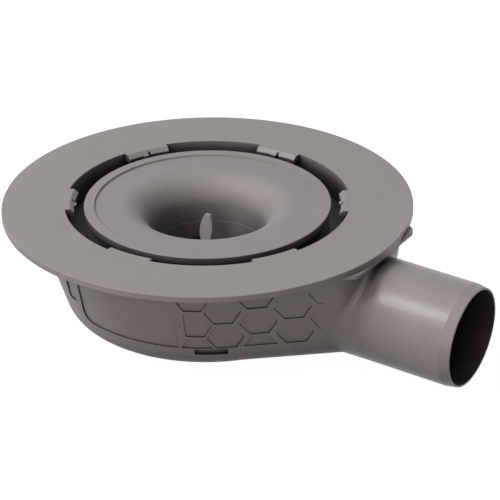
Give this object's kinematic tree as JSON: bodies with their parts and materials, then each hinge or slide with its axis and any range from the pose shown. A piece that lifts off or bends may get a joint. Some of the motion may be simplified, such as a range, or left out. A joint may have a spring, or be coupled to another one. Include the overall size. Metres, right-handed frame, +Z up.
{
  "type": "gully trap",
  "caption": "Shallow round floor drain with a flat sealing flange, a side outlet spigot and a lift-out water trap with a central funnel.",
  "frame": {"origin": "centre of the underside of the round foot, on the axis of the trap opening", "axes": "+Z up along the opening's axis, +X towards the outlet pipe, +Y to the left of the outlet seen from above"},
  "size_m": [0.2459, 0.2, 0.0605],
  "materials": {
    "housing_plastic": "fine matt texture, moulded polypropylene, warm mid grey",
    "trap_plastic": "fine matt texture, moulded polypropylene, warm mid grey",
    "seal_rubber": "smooth matt rubber"
  },
  "bodies": {
    "housing": {"gully_body": "housing_plastic", "flange_ring": "housing_plastic"},
    "trap_insert": {"trap_funnel": "trap_plastic", "trap_cup": "trap_plastic", "trap_seal": "seal_rubber"}
  },
  "joints": [
    {"name": "trap_lift", "type": "slide", "parent": "housing", "child": "trap_insert", "axis": [0, 0, 1], "range_m": [0, 0.065]}
  ]
}
